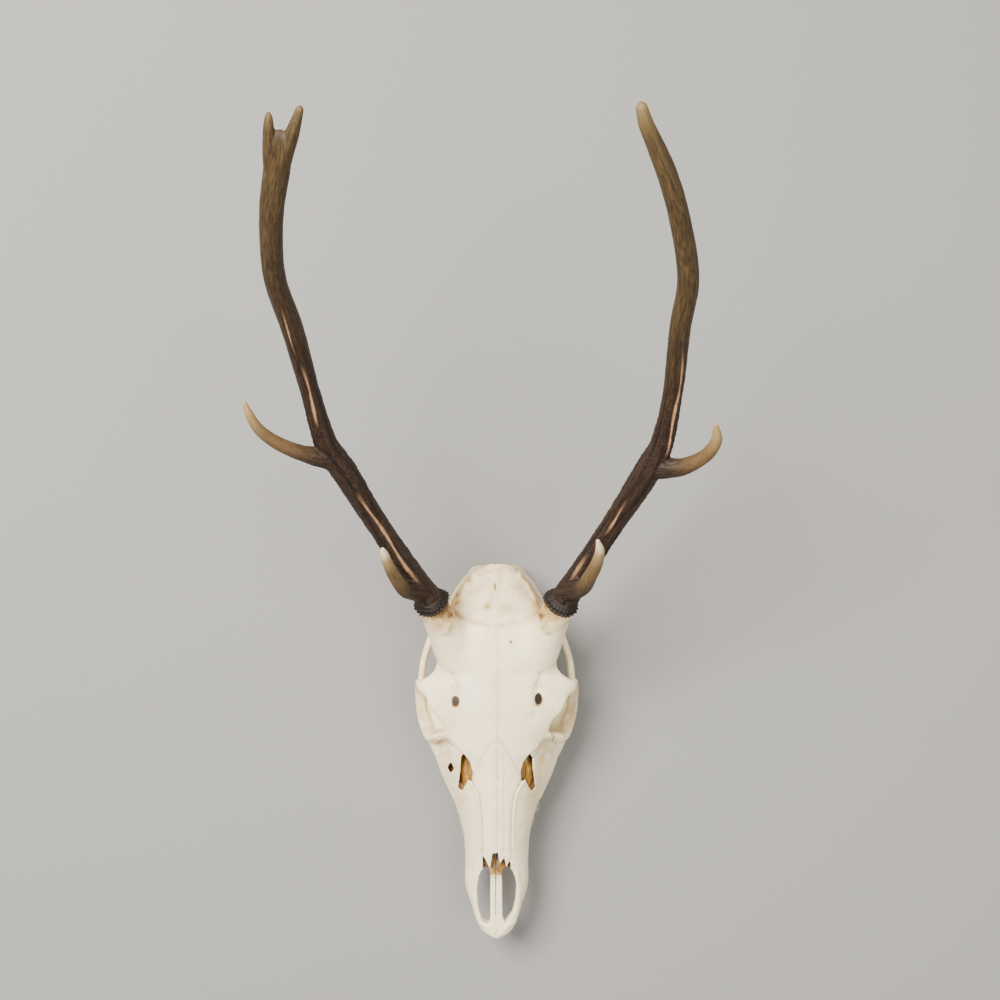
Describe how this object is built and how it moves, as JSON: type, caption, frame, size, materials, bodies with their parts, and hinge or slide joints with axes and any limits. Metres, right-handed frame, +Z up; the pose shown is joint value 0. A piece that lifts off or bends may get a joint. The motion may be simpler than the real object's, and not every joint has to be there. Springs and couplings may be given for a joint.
{
  "type": "deer skull with antlers",
  "caption": "Bleached skull of a sika stag without its lower jaw, lying on its teeth and neck joint, with two branched brown antlers.",
  "frame": {"origin": "middle of the footprint, on the surface that the skull rests on", "axes": "+Z up, -Y towards the tip of the snout, +Y towards the antler tips, -X the animal's left side"},
  "size_m": [0.32, 0.574, 0.3714],
  "materials": {
    "bone": "bleached, dry bone",
    "scroll_bone": "thin ochre nasal bone",
    "antler": "dark, grooved antler with pale polished ridges and tips"
  },
  "bodies": {
    "root": {"nasal_left": "bone", "nasal_right": "bone", "zygomatic_left": "bone", "zygomatic_right": "bone", "premaxilla_left": "bone", "premaxilla_right": "bone", "maxilla_left": "bone", "maxilla_right": "bone", "frontal_left": "bone", "frontal_right": "bone", "braincase": "bone", "vomer": "bone", "turbinates_left": "scroll_bone", "turbinates_right": "scroll_bone", "antler_left_lower_beam": "antler", "antler_left_upper_beam": "antler", "antler_left_brow_tine": "antler", "antler_left_middle_tine": "antler", "antler_right_lower_beam": "antler", "antler_right_upper_beam": "antler", "antler_right_brow_tine": "antler", "antler_right_middle_tine": "antler"}
  },
  "joints": []
}
